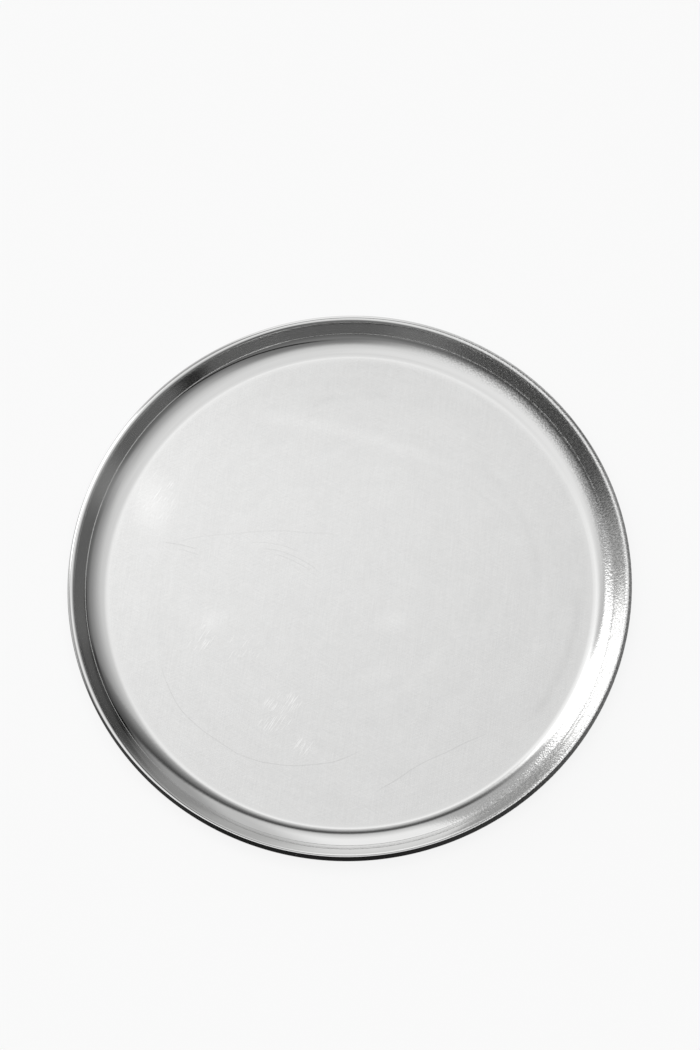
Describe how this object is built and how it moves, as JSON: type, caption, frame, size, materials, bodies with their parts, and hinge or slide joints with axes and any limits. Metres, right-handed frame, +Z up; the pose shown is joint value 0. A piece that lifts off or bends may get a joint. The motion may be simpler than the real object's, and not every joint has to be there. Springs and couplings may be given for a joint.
{
  "type": "round serving tray",
  "caption": "Round stainless steel serving tray with a flat brushed floor, a coved polished wall and a rolled rim closed over a wire ring.",
  "frame": {"origin": "on the surface the tray stands on, below the middle of its floor", "axes": "+Z up, along the tray's axis of revolution, out of its open side; +X and +Y across the tray"},
  "size_m": [0.35, 0.35, 0.016],
  "materials": {
    "sheet_steel": "finely brushed floor, polished wall and rim, light scratches from use",
    "wire_steel": "drawn wire, dull"
  },
  "bodies": {
    "root": {"tray_pan": "sheet_steel", "rim_wire": "wire_steel"}
  },
  "joints": []
}
